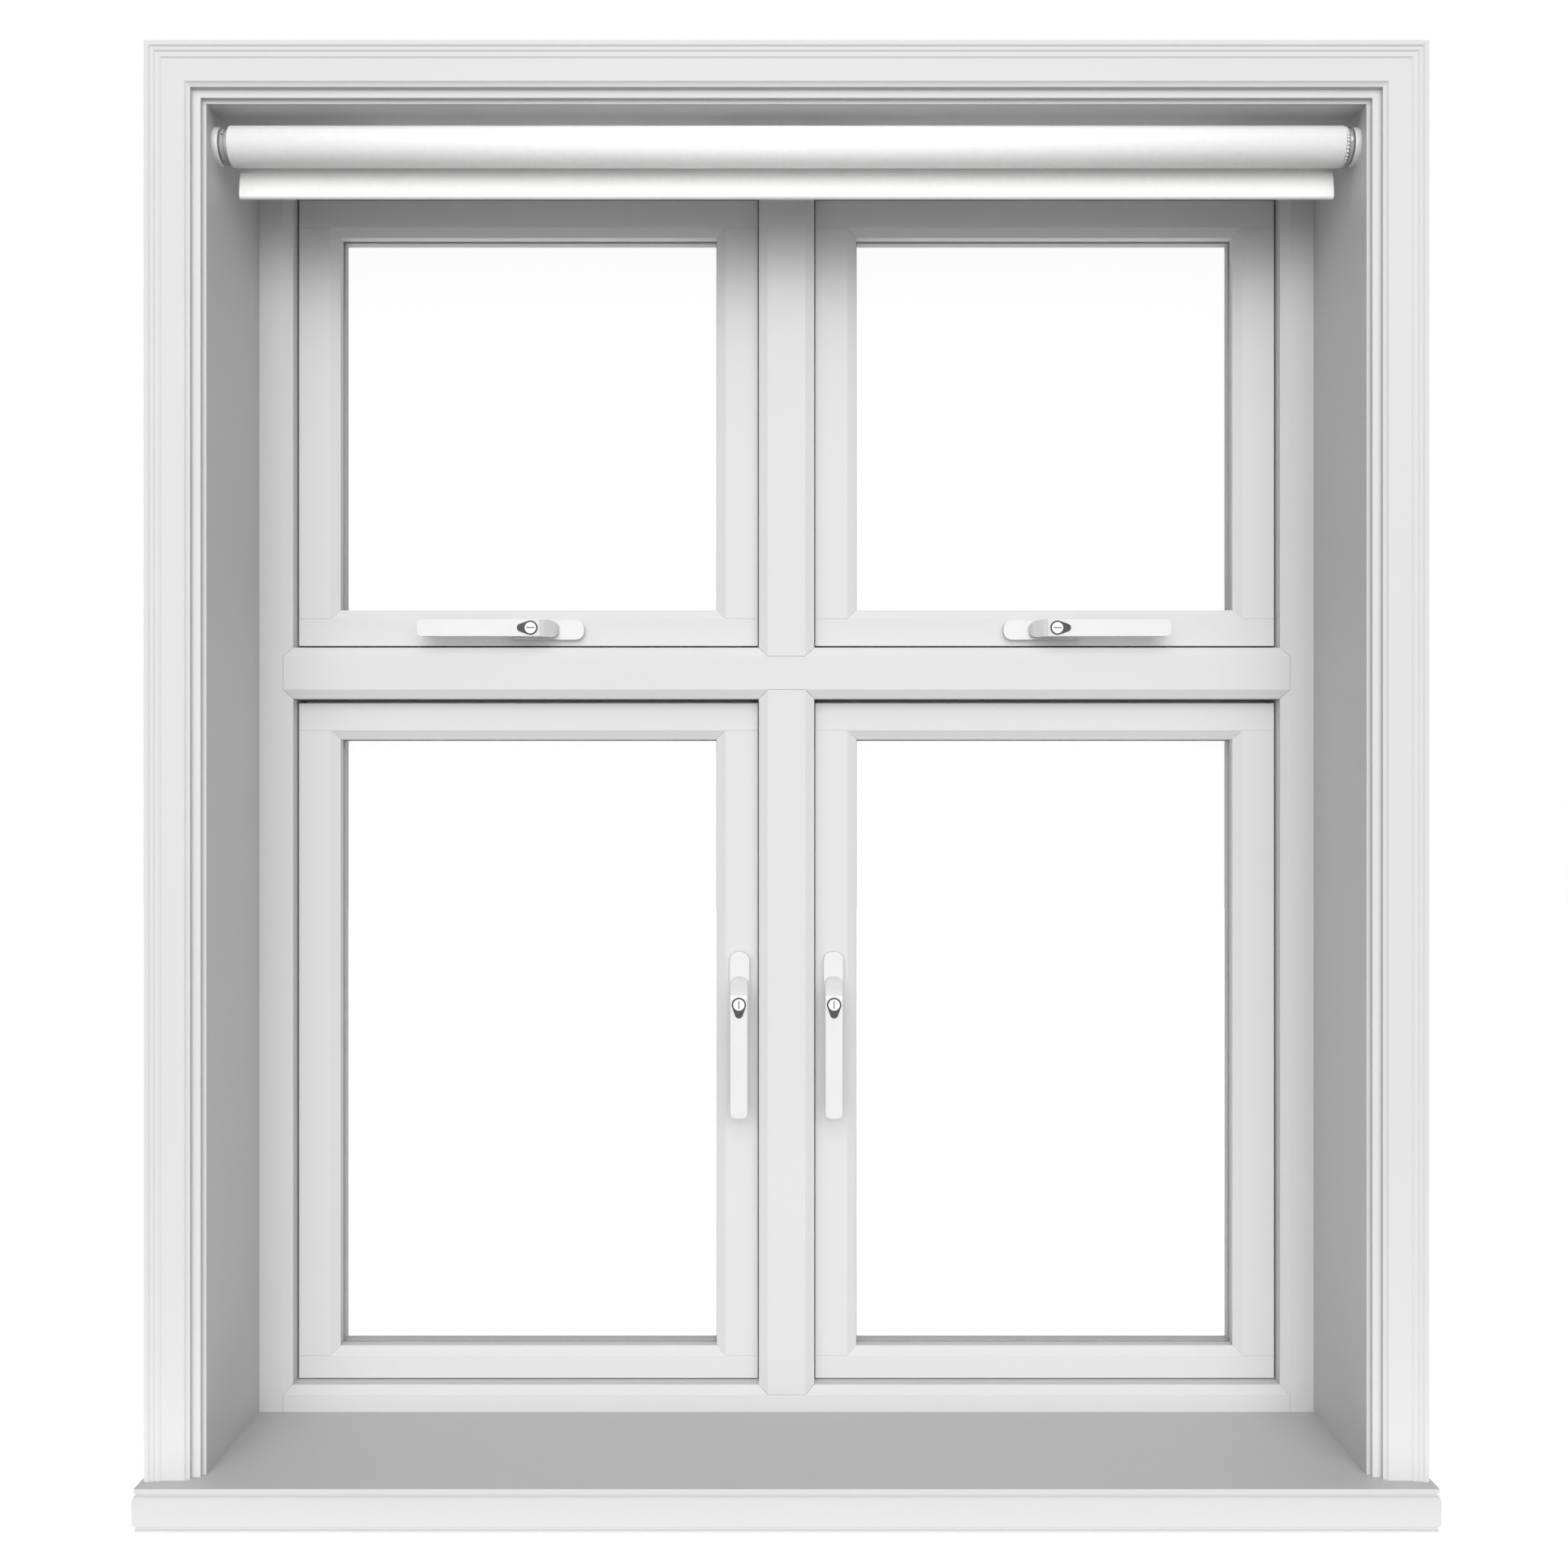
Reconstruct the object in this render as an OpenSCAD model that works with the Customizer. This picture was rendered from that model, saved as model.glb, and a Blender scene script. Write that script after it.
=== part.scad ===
// Casement window set: timber frame, four sashes, linings, architrave, window board and roller blind.
// The origin is the middle of the frame's underside at its room face. X runs to the right as seen
// from the room, Y to the outside and Z up. All sizes are in millimetres.

/* [Opening] */
// Clear width between the side linings
opening_w = 1100; // [900:10:1400]
// Clear height from the window board to the head lining
opening_h = 1300; // [1100:10:1700]
// Depth of the reveal from the wall's face to the frame
reveal_d = 158.3; // [100:0.1:260]
// Height of the window board's top above the frame's underside
board_top = 43; // [36:1:60]

/* [Frame] */
// Depth of the frame from the room face to the outside face
frame_d = 70; // [64:1:90]
// Visible width of a jamb, from its lining to its inner arris
jamb_face = 33.7; // [24:0.1:60]
// Visible width of the head and of the sill, to the inner arris
rail_face = 27; // [20:0.5:50]
// Width of the transom between its arrises
transom_w = 53.8; // [48:0.1:80]
// Height of the transom's middle above the window board
transom_z = 771.1; // [700:0.1:900]
// Width of the mullion between its arrises
mullion_w = 58.2; // [50:0.1:80]
// Width of every chamfer, as seen from the room
chamfer_w = 9.5; // [6:0.5:12]
// Depth of every chamfer
chamfer_d = 5; // [3:0.5:7]

/* [Sashes] */
// Distance of a sash's room face behind the frame's room face
sash_back = 20; // [16:1:24]
// Flat width of the stile at the jamb
outer_stile_w = 33; // [28:0.5:50]
// Flat width of the stile at the mullion
inner_stile_w = 34; // [33:0.5:50]
// Flat width of a rail
rail_w = 28.5; // [28:0.5:50]
// Flat width of a lower sash's bottom rail
bottom_rail_w = 23.3; // [20:0.1:50]
// Gap between a sash and the jamb or the head
hinge_gap = 1.9; // [1.5:0.1:3]
// Gap between a sash and the mullion
lock_gap = 1.2; // [1.1:0.1:5]
// Gap above a lower sash
lower_top_gap = 3.8; // [2:0.1:5]
// Gap below a lower sash
lower_bottom_gap = 1.4; // [1.2:0.1:3]
// Gap below an upper sash
upper_bottom_gap = 3; // [3:0.1:5]
// Thickness of one sheet of glass
glass_t = 4; // [3:0.5:6]
// Cavity between the two sheets
cavity = 12; // [8:1:14]

/* [Handles] */
// Height of the lower handles' pivots above the window board
lower_handle_z = 438.8; // [350:0.1:550]
// Distance of the upper left handle's pivot from the middle
upper_left_handle_x = 252.8; // [240:0.1:290]
// Distance of the upper right handle's pivot from the middle
upper_right_handle_x = 268.2; // [240:0.1:290]
// Width of the handle plate
plate_w = 20.4; // [19:0.1:24]
// Length of the handle plate
plate_l = 80; // [60:1:110]
// Thickness of the handle plate
plate_t = 8; // [6:0.5:10]
// Width of the lever
lever_w = 17.5; // [15:0.5:20]
// Reach of the lever's grip from its pivot
lever_l = 130; // [100:1:150]
// Radius of the lock barrel
barrel_r = 5.8; // [4:0.1:6.5]
// Travel of the espagnolette bar for a quarter turn of the lever
bar_travel = 20; // [12:1:24]

/* [Trim] */
// Thickness of the linings
lining_t = 18; // [12:1:25]
// Strip of lining edge left showing beside the architrave
trim_margin = 3.9; // [2:0.1:8]
// Width of the architrave
trim_w = 49.5; // [49:0.5:90]
// Projection of the window board in front of the wall's face
nosing = 33.2; // [24:0.1:60]
// Length of the window board beyond the architrave at each side
board_horn = 5.2; // [2:0.1:30]

/* [Blind] */
// Radius of the rolled cloth
roll_r = 19.5; // [18.5:0.5:24]
// Distance of the roll's axis behind the wall's face
roll_y = 30.3; // [28:0.1:60]
// Distance of the roll's axis below the head lining
roll_drop = 29.3; // [26:0.1:50]
// Distance of the roll's end from the lining
roll_end = 14.7; // [14:0.1:30]
// Height of the hem's lower edge above the window board
hem_z = 1227.1; // [1100:0.1:1240]

/* [Hidden] */
$fn = 48;
white = "whitesmoke";
running = 0.05;                       // radial clearance of a pin or shaft in its bore
seat_gap = 0.3;                       // clearance between faces that slide or swing past each other
half_w = opening_w / 2;               // half of the clear width
outer_w = half_w + lining_t;          // half of the frame's width
head_z = board_top + opening_h;       // underside of the head lining
top_z = head_z + lining_t;            // top of the frame
wall_y = -reveal_d;                   // the wall's face

// Openings of the frame, as the lines of its arrises in the right-hand half
jamb_x = half_w - jamb_face;
mullion_x = mullion_w / 2;
sill_z = board_top + rail_face;
transom_low = board_top + transom_z - transom_w / 2;
transom_high = board_top + transom_z + transom_w / 2;
head_low = head_z - rail_face;
step_y = frame_d - 20;                // depth at which the rebate for the sash's lip begins
swing_relief = 1.6;                   // how far the mullion's side stands back behind its nose, for a sash to swing past
nose_y = sash_back + 1.5;             // outside end of the mullion's nose
function opening(upper) = upper
    ? [mullion_x, jamb_x, transom_high, head_low]
    : [mullion_x, jamb_x, sill_z, transom_low];

// Bodies of the sashes, without their lips
top_gap_upper = 2;
lip = chamfer_w;                      // overlap of a sash's lip on the frame's step
lip_y = step_y + 3;                   // room side of the lip
seal_t = 2.6;
function sash_box(upper) = upper
    ? [mullion_x + lock_gap, jamb_x - hinge_gap, transom_high + upper_bottom_gap, head_low - top_gap_upper]
    : [mullion_x + lock_gap, jamb_x - hinge_gap, sill_z + lower_bottom_gap, transom_low - lower_top_gap];
function low_rail(upper) = upper ? rail_w : bottom_rail_w;
// Sight lines of the glass
function pane(upper) = let (b = sash_box(upper)) [
    b[0] + inner_stile_w + chamfer_w, b[1] - outer_stile_w - chamfer_w,
    b[2] + low_rail(upper) + chamfer_w, b[3] - rail_w - chamfer_w];
glass_y = sash_back + chamfer_d + 12; // room side of the glass unit
joint_line = 0.15;                    // hairline between a rail and a stile
unit_t = 2 * glass_t + cavity;
glass_cover = chamfer_w - 2;
bead_y = glass_y + unit_t;
bead_d = frame_d - bead_y - 2;
bead_w = 5.4;

// Surface hinges on the outside face
pin_r = 2.5;
knuckle_r = 4.5;
leaf_t = 2;
leaf_w = 24;
leaf_start = 5.5;                     // where a leaf begins beside the other leaf's knuckles
hinge_l = 64;
middle_l = 24;                        // length of the sash's middle knuckle
pin_y = frame_d + 5;
side_pin_x = jamb_x + lip - hinge_gap / 2;
top_pin_z = head_low + lip - top_gap_upper / 2;
hinge_inset = 90;                     // a hinge's middle from the end of its sash

// Handles: the pivot is the local origin on the sash's face, with the grip along -Z and the room at -Y
plate_corner = 9;
collar_r = 7;
spindle_w = 7;
spindle_l = 22;
spindle_hole_r = 5.6;
neck_l = 14;                          // length of the neck behind the pivot
lever_top = 34;                       // height of the grip's front above the sash
grip_t = 10;
grip_corner = 5.5;
barrel_x = 12.3;                      // distance of the lock barrel from the pivot
barrel_d = 7;
barrel_proud = 0.6;
keyway = [1.1, 1.5, 8.6];
upper_rail_mid = 16;                  // height of an upper handle above its sash's lower edge
lower_inset = 19;                     // distance of a lower handle from its sash's edge
function handle_at(upper, side) = let (b = sash_box(upper)) upper
    ? [side < 0 ? upper_left_handle_x : upper_right_handle_x, sash_back, b[2] + upper_rail_mid]
    : [b[0] + lower_inset, sash_back, board_top + lower_handle_z];

// Espagnolette bars in the sashes' edges, and their keeps in the frame
bar_t = 2.5;
bar_w = 14;
bar_y = 42;
bar_half = 170;
cam_r = 3;
cam_h = 1.8;
cam_at = 140;                         // distance of a cam from the middle of the bar
keep_t = 1.2;
keep_l = 60;
keep_w = 12;

// Architrave section, from the inner edge outwards and from the wall towards the room
trim_t = 16.2;
trim_section = [[0, 0], [0, 5], [8, 5], [8, 10.5], [10, 11.2], [11.5, 12], [12.6, 13], [33.6, 13],
    [35.5, 14], [39.5, 14], [41, 15], [43.8, 15], [45.5, trim_t], [trim_w, trim_t], [trim_w, 0]];
trim_x = half_w + trim_margin;
trim_top = head_z + trim_margin;

// Roller blind
axis_y = wall_y + roll_y;
axis_z = head_z - roll_drop;
roll_half = half_w - roll_end;
tube_r = 16;
tube_wall = 1.2;
disc_r = 18;
disc_t = 5.6;
stub_r = 4;
hub_r = 16.5;
hub_face = half_w - disc_t - 1;       // end of the rotating hubs, beside the discs
plug_l = 30;                          // length of a plug inside the tube
bead_r = 1.7;
bead_ring = 17.2;
bead_count = 32;
bead_x = roll_half + 2;
cloth_t = 0.4;
cloth_y = axis_y + roll_r - cloth_t;
hem_h = 26;
hem_t = 6;
hem_low = board_top + hem_z;
jamb_holes = [200, 1160];             // heights of the fixing holes in the jambs
fixing_r = 2.5;
fixing_d = 40;

SASHES = [["upper_left", -1, true], ["upper_right", 1, true],
    ["lower_left", -1, false], ["lower_right", 1, false]];
SASH_PARTS = ["sash", "glazing_beads", "glass_panes", "hinge_leaves", "handle_plate", "lever",
    "lock_barrel", "espag_bar"];

// ---- Ways to place a shape ----

// Extrudes a section drawn in X and Y along Z
module along_z(z0, z1) { translate([0, 0, z0]) linear_extrude(z1 - z0) children(); }

// Extrudes a section drawn in Y and Z along X
module along_x(x0, x1) { translate([x0, 0, 0]) rotate([90, 0, 90]) linear_extrude(x1 - x0) children(); }

// Extrudes an outline drawn in X and Z along Y
module along_y(y0, y1) { translate([0, y1, 0]) rotate([90, 0, 0]) linear_extrude(y1 - y0) children(); }

// A box from its lowest and highest corners
module box(low, high) { translate(low) cube(high - low); }

// A round bar along X or along Y between two places on that axis
module bar_x(r, x0, x1) { translate([x0, 0, 0]) rotate([0, 90, 0]) cylinder(r = r, h = x1 - x0); }
module bar_y_axis(r, y0, y1) { translate([0, y1, 0]) rotate([90, 0, 0]) cylinder(r = r, h = y1 - y0); }

// Draws its children in the right-hand half, or mirrored in the left-hand half
module on_side(side) {
    if (side < 0) mirror([1, 0, 0]) children();
    else children();
}

// The mitred edge of a member beside an opening, as points from left to right or from top to bottom:
// edge 0 is the opening's left side, 1 its right side, 2 its low side and 3 its high side
function edge_points(o, edge, w = chamfer_w) =
    edge == 0 ? [[o[0] - w, o[3] + w], [o[0], o[3]], [o[0], o[2]], [o[0] - w, o[2] - w]] :
    edge == 1 ? [[o[1] + w, o[3] + w], [o[1], o[3]], [o[1], o[2]], [o[1] + w, o[2] - w]] :
    edge == 2 ? [[o[0] - w, o[2] - w], [o[0], o[2]], [o[1], o[2]], [o[1] + w, o[2] - w]] :
    [[o[0] - w, o[3] + w], [o[0], o[3]], [o[1], o[3]], [o[1] + w, o[3] + w]];

// The same points in the other order, and the points of the mirrored half in the other order
function backwards(points) = [for (i = [len(points) - 1 : -1 : 0]) points[i]];
function mirrored(points) = [for (p = backwards(points)) [-p[0], p[1]]];

// A rectangle from two corners
module rect(low, high) { translate(low) square(high - low); }

// ---- Frame ----

// One edge of a frame member, drawn with u across it: solid below the arris at u = edge
module frame_edge(base, edge) {
    polygon([[base, 0], [edge - chamfer_w, 0], [edge, chamfer_d], [edge, step_y],
        [edge - chamfer_w, step_y], [edge - chamfer_w, frame_d], [base, frame_d]]);
}

// Keep pocket or keep plate on the side of the mullion, or on top of the transom
module keep_blocks(upper, side) {
    at = handle_at(upper, side);
    o = opening(upper);
    for (d = [-cam_at, cam_at]) on_side(side)
        if (upper) box([at[0] + d - keep_l / 2, bar_y - keep_w / 2, o[2] - keep_t],
            [at[0] + d + keep_l / 2, bar_y + keep_w / 2, o[2]]);
        else box([o[0] - swing_relief - keep_t, bar_y - keep_w / 2, at[2] + d - keep_l / 2],
            [o[0] - swing_relief, bar_y + keep_w / 2, at[2] + d + keep_l / 2]);
}

module jamb(side) {
    color(white) on_side(side) difference() {
        intersection() {
            along_z(0, top_z) mirror([1, 0]) frame_edge(-outer_w, -jamb_x);
            along_y(0, frame_d) polygon(concat([[outer_w, 0], [outer_w, top_z], [jamb_x + chamfer_w, top_z]],
                edge_points(opening(true), 1), edge_points(opening(false), 1), [[jamb_x + chamfer_w, 0]]));
        }
        for (z = jamb_holes) translate([0, frame_d / 2, z]) bar_x(fixing_r, outer_w - fixing_d, outer_w + 1);
    }
}

// One edge of a rail's section in Y and Z, from the room to the outside, with its arris at z
function rail_edge(z, up) = [[0, z - up * chamfer_w], [chamfer_d, z], [step_y, z],
    [step_y, z - up * chamfer_w], [frame_d, z - up * chamfer_w]];
function plain_edge(z) = [[0, z], [frame_d, z]];

// A rail across the frame from the two edges of its section and the two edges of its outline
module frame_rail(section_low, section_high, outline_low, outline_high) {
    color(white) intersection() {
        along_x(-outer_w, outer_w) polygon(concat(section_high, backwards(section_low)));
        along_y(0, frame_d) polygon(concat(outline_high, backwards(outline_low)));
    }
}

// Edges of a rail's outline across both openings, or straight between the jambs
function across(upper, edge) = concat(mirrored(edge_points(opening(upper), edge)), edge_points(opening(upper), edge));
function straight(z) = [[-jamb_x - chamfer_w, z], [jamb_x + chamfer_w, z]];

module frame_head() {
    frame_rail(rail_edge(head_low, -1), plain_edge(top_z), across(true, 3), straight(top_z));
}

module frame_sill() {
    frame_rail(plain_edge(0), rail_edge(sill_z, 1), straight(0), across(false, 2));
}

module transom() {
    difference() {
        frame_rail(rail_edge(transom_low, -1), rail_edge(transom_high, 1), across(false, 3), across(true, 2));
        for (side = [-1, 1]) keep_blocks(true, side);
    }
}

// The right-hand edge of the mullion's section, with its nose beside the sash's room face
waist_x = mullion_x - swing_relief;
mullion_edge = [[mullion_x - chamfer_w, 0], [mullion_x, chamfer_d], [mullion_x, nose_y],
    [waist_x, nose_y + swing_relief], [waist_x, step_y], [mullion_x - chamfer_w, step_y],
    [mullion_x - chamfer_w, frame_d]];

module mullion(upper) {
    o = opening(upper);
    color(white) difference() {
        intersection() {
            along_z(0, top_z) polygon(concat(mullion_edge, mirrored(mullion_edge)));
            along_y(0, frame_d) polygon(concat(edge_points(o, 0), mirrored(edge_points(o, 0))));
        }
        if (!upper) for (side = [-1, 1]) keep_blocks(false, side);
    }
}

module weather_seals() {
    color("dimgray") for (s = SASHES) on_side(s[1]) {
        o = opening(s[2]);
        difference() {
            box([o[0] - 7, step_y, o[2] - 7], [o[1] + 7, step_y + seal_t, o[3] + 7]);
            box([o[0] - swing_relief, 0, o[2]], [o[1], frame_d, o[3]]);
        }
    }
}

module lock_keeps() {
    color("silver") for (s = SASHES) keep_blocks(s[2], s[1]);
}

// ---- Linings, architrave and window board ----

module side_lining(side) {
    color(white) on_side(side) box([half_w, wall_y, board_top], [outer_w, 0, head_z]);
}

module lining_head() {
    color(white) box([-outer_w, wall_y, head_z], [outer_w, 0, top_z]);
}

module side_architrave(side) {
    color(white) on_side(side) intersection() {
        along_z(board_top, trim_top + trim_w) translate([trim_x, wall_y]) mirror([0, 1]) polygon(trim_section);
        along_y(wall_y - trim_t, wall_y) polygon([[trim_x, board_top], [trim_x + trim_w, board_top],
            [trim_x + trim_w, trim_top + trim_w], [trim_x, trim_top]]);
    }
}

module architrave_head() {
    color(white) intersection() {
        along_x(-trim_x - trim_w, trim_x + trim_w) translate([wall_y, trim_top])
            rotate(90) polygon(trim_section);
        along_y(wall_y - trim_t, wall_y) polygon([[-trim_x, trim_top], [trim_x, trim_top],
            [trim_x + trim_w, trim_top + trim_w], [-trim_x - trim_w, trim_top + trim_w]]);
    }
}

// The nosing's moulding, as how far it stands back from its most forward line at each height
board_under = 2;
band_top = board_top - 6.7;
moulding = [[2, board_under], [2, 4.6], [2.8, 4.6], [2.8, 6.8], [1.6, 7.3], [0.6, 9], [0, 12], [0, band_top - 5.2],
    [0.6, band_top - 2.2], [1.6, band_top - 0.5], [2.8, band_top], [2.8, band_top + 2.3],
    [1.4, band_top + 2.3], [1.4, board_top]];

module window_board() {
    end_x = trim_x + trim_w + board_horn;
    color(white) {
        box([-outer_w, wall_y, board_under], [outer_w, 0, board_top]);
        intersection() {
            along_x(-end_x, end_x) polygon(concat([[wall_y, board_top], [wall_y, board_under]],
                [for (m = moulding) [wall_y - nosing + m[0], m[1]]]));
            along_y(wall_y - nosing, wall_y) polygon(concat([for (m = moulding) [end_x - m[0], m[1]]],
                mirrored([for (m = moulding) [end_x - m[0], m[1]]])));
        }
    }
}

// ---- Sashes ----

// The section of a sash member, with u from its outer edge towards the glass and v through its depth
module sash_section(flat) {
    polygon([[0, sash_back], [flat, sash_back], [flat + chamfer_w, sash_back + chamfer_d],
        [flat + chamfer_w, glass_y], [flat, glass_y], [flat, frame_d], [0, frame_d]]);
}

// A rail with its lip, across the whole sash; z is its outer edge and up is 1 where the glass is above it
module sash_rail(upper, z, flat, up) {
    b = sash_box(upper);
    outer = z - up * lip;
    inner = z + up * flat;
    intersection() {
        union() {
            along_x(b[0], b[1]) translate([0, z]) mirror([0, up < 0 ? 1 : 0]) mirror([1, -1]) sash_section(flat);
            box([b[0] - lip, lip_y, min(outer, inner)], [b[1] + lip, frame_d, max(outer, inner)]);
        }
        along_y(0, frame_d) polygon(concat([[b[0] - lip, outer], [b[0] - lip, inner]],
            edge_points(pane(upper), up > 0 ? 2 : 3), [[b[1] + lip, inner], [b[1] + lip, outer]]));
    }
}

// A stile with its lip, between the rails; x is its outer edge and way is 1 where the glass is to its right
module sash_stile(upper, x, flat, way) {
    p = pane(upper) + [0, 0, joint_line, -joint_line];
    low = p[2] - chamfer_w;
    high = p[3] + chamfer_w;
    outer = x - way * lip;
    inner = x + way * flat;
    intersection() {
        union() {
            along_z(low, high) translate([x, 0]) mirror([way < 0 ? 1 : 0, 0]) sash_section(flat);
            box([min(outer, inner), lip_y, low], [max(outer, inner), frame_d, high]);
        }
        along_y(0, frame_d) polygon(concat([[outer, low], [outer, high]], edge_points(p, way > 0 ? 0 : 1)));
    }
}

// Draws its children, which are made for an upright edge at X = 0, at the locking edge of a sash
module at_lock_edge(upper, side) {
    b = sash_box(upper);
    at = handle_at(upper, side);
    if (upper) translate([at[0], 0, b[2]]) rotate([0, -90, 0]) children();
    else translate([b[0], 0, at[2]]) children();
}

// The groove for the espagnolette bar, long enough for its travel
module bar_groove() {
    box([-1, bar_y - bar_w / 2 - seat_gap, -bar_half - 2],
        [bar_t + seat_gap, bar_y + bar_w / 2 + seat_gap, bar_half + bar_travel + 2]);
}

module sash(upper, side) {
    b = sash_box(upper);
    color(white) on_side(side) {
        sash_cuts(upper, side) sash_rail(upper, b[2], low_rail(upper), 1);
        sash_rail(upper, b[3], rail_w, -1);
        sash_cuts(upper, side) sash_stile(upper, b[0], inner_stile_w, 1);
        sash_stile(upper, b[1], outer_stile_w, -1);
    }
}

// Cuts the bar's groove and the spindle's hole from its child
module sash_cuts(upper, side) {
    difference() {
        children();
        at_lock_edge(upper, side) bar_groove();
        translate(handle_at(upper, side)) bar_y_axis(spindle_hole_r, -1, spindle_l + 1);
    }
}

// Outside beads that hold the glass, with their mitres
module glazing_beads(upper, side) {
    p = pane(upper);
    slot = [p[0] - chamfer_w, p[1] + chamfer_w, p[2] - chamfer_w, p[3] + chamfer_w];
    inside = [slot[0] + bead_w, slot[1] - bead_w, slot[2] + bead_w, slot[3] - bead_w];
    section = [[0, bead_y], [bead_w, bead_y], [bead_w - 2.4, bead_y + bead_d], [0, bead_y + bead_d]];
    color(white) on_side(side) {
        for (e = [0, 1]) intersection() {
            along_z(slot[2], slot[3]) translate([slot[e], 0]) mirror([e, 0]) polygon(section);
            along_y(0, frame_d) polygon(edge_points(inside, e, bead_w));
        }
        for (e = [0, 1]) intersection() {
            along_x(slot[0], slot[1]) translate([0, slot[2 + e]]) mirror([0, e]) mirror([1, -1]) polygon(section);
            along_y(0, frame_d) polygon(edge_points(inside, 2 + e, bead_w));
        }
    }
}

module glass_panes(upper, side) {
    p = pane(upper);
    c = glass_cover;
    color("lightblue", 0.4) on_side(side) for (y = [glass_y, bead_y - glass_t])
        box([p[0] - c, y, p[2] - c], [p[1] + c, y + glass_t, p[3] + c]);
}

// ---- Hinges ----

// Draws its children at each hinge of a sash, with the pin along Z and the sash towards -X
module at_hinges(upper, side) {
    b = sash_box(upper);
    on_side(side)
        if (upper) for (x = [b[0] + hinge_inset, b[1] - hinge_inset])
            translate([x, pin_y, top_pin_z]) rotate([0, -90, 0]) children();
        else for (z = [b[2] + hinge_inset, b[3] - hinge_inset]) translate([side_pin_x, pin_y, z]) children();
}

// Half of a hinge on the side given by way, with its knuckles between the given heights
module hinge_half(way, knuckles) {
    leaf_y = frame_d - pin_y;
    difference() {
        union() {
            mirror([way < 0 ? 1 : 0, 0, 0]) {
                box([leaf_start, leaf_y, -hinge_l / 2], [leaf_w, leaf_y + leaf_t, hinge_l / 2]);
                for (k = knuckles) box([0, leaf_y, k[0]], [leaf_start, leaf_y + leaf_t, k[1]]);
            }
            for (k = knuckles) translate([0, 0, k[0]]) cylinder(r = knuckle_r, h = k[1] - k[0]);
        }
        translate([0, 0, -hinge_l]) cylinder(r = way < 0 ? pin_r + running : pin_r, h = 2 * hinge_l);
    }
}

module hinge_leaves(upper, side) {
    color("silver") at_hinges(upper, side) hinge_half(-1, [[-middle_l / 2, middle_l / 2]]);
}

module hinge_frame_leaves() {
    near = middle_l / 2 + seat_gap;
    color("silver") for (s = SASHES) at_hinges(s[2], s[1])
        hinge_half(1, [[-hinge_l / 2, -near], [near, hinge_l / 2]]);
}

module hinge_pins() {
    color("gray") for (s = SASHES) at_hinges(s[2], s[1])
        translate([0, 0, -hinge_l / 2 - 1]) cylinder(r = pin_r, h = hinge_l + 2);
}

// ---- Handles and locks ----

// Draws its children at a sash's handle, turned so that an upper handle's grip points away from the middle
module at_handle(upper, side) {
    on_side(side) translate(handle_at(upper, side)) rotate([0, upper ? -90 : 0, 0]) children();
}

// A rectangle with round corners around the middle of the drawing
module round_rect(w, low, high, r) {
    rect([-w / 2 + r, low], [w / 2 - r, high]);
    rect([-w / 2, low + r], [w / 2, high - r]);
    for (x = [-w / 2 + r, w / 2 - r]) for (y = [low + r, high - r]) translate([x, y]) circle(r);
}

module handle_plate(upper, side) {
    color(white) at_handle(upper, side) difference() {
        along_y(-plate_t, 0) round_rect(plate_w, -plate_l / 2, plate_l / 2, plate_corner);
        bar_y_axis(collar_r + running, -plate_t - 1, 1);
    }
}

// The lever's side view, in Y and Z: a neck that rises from the plate and carries the grip
module lever_profile() {
    low = -plate_t - seat_gap;
    polygon([[low, neck_l], [low - 3, neck_l], [low - 9, neck_l - 3], [-lever_top + 5, 1.5], [-lever_top + 1.2, -3],
        [-lever_top, -7], [-lever_top, -lever_l], [grip_t - lever_top, -lever_l], [grip_t - lever_top, -34],
        [grip_t - lever_top + 3, -24], [low - 6, -16], [low, -12]]);
}

module lever(upper, side) {
    tail_r = lever_w / 2 - 0.75;
    color(white) at_handle(upper, side) difference() {
        union() {
            intersection() {
                along_x(-lever_w / 2, lever_w / 2) lever_profile();
                along_y(-lever_top, 0) union() {
                    round_rect(lever_w, -lever_l, -lever_l / 2, grip_corner);
                    round_rect(lever_w, -lever_l / 2 - 20, neck_l, tail_r);
                }
            }
            bar_y_axis(collar_r, -plate_t - 1, 0);
            box([-spindle_w / 2, -1, -spindle_w / 2], [spindle_w / 2, spindle_l, spindle_w / 2]);
        }
        translate([0, 0, -barrel_x]) bar_y_axis(barrel_r + running, -lever_top - 1, barrel_d + 0.2 - lever_top);
    }
}

module lock_barrel(upper, side) {
    front = -lever_top - barrel_proud;
    color("white") at_handle(upper, side) translate([0, 0, -barrel_x]) difference() {
        bar_y_axis(barrel_r, front, barrel_d - lever_top);
        translate([0, front, 0]) cube(keyway, center = true);
    }
}

module espag_bar(upper, side) {
    color("silver") on_side(side) at_lock_edge(upper, side) {
        box([0, bar_y - bar_w / 2, -bar_half], [bar_t, bar_y + bar_w / 2, bar_half]);
        for (z = [-cam_at, cam_at]) translate([0, bar_y, z]) bar_x(cam_r, -cam_h, bar_t);
    }
}

// ---- Roller blind ----

// Draws its children, which are made around the X axis, on the axis of the roll
module on_roll() { translate([0, axis_y, axis_z]) children(); }

module blind_bracket(side) {
    color(white) on_roll() on_side(side) {
        bar_x(disc_r, half_w - disc_t, half_w);
        bar_x(stub_r, roll_half - plug_l + 5, half_w - disc_t);
    }
}

module blind_tube() {
    color("lightgray") on_roll() difference() {
        bar_x(tube_r, -roll_half + 2, roll_half - 2);
        bar_x(tube_r - tube_wall, -roll_half, roll_half);
    }
}

// A plug in the end of the tube with a hub outside it
module end_plug(side) {
    on_roll() on_side(side) difference() {
        union() {
            bar_x(tube_r - tube_wall, roll_half - plug_l, roll_half);
            bar_x(hub_r - 1, roll_half - 2, hub_face);
            bar_x(hub_r, roll_half + 4.2, hub_face);
        }
        bar_x(stub_r + running, roll_half - plug_l - 1, half_w);
    }
}

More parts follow.
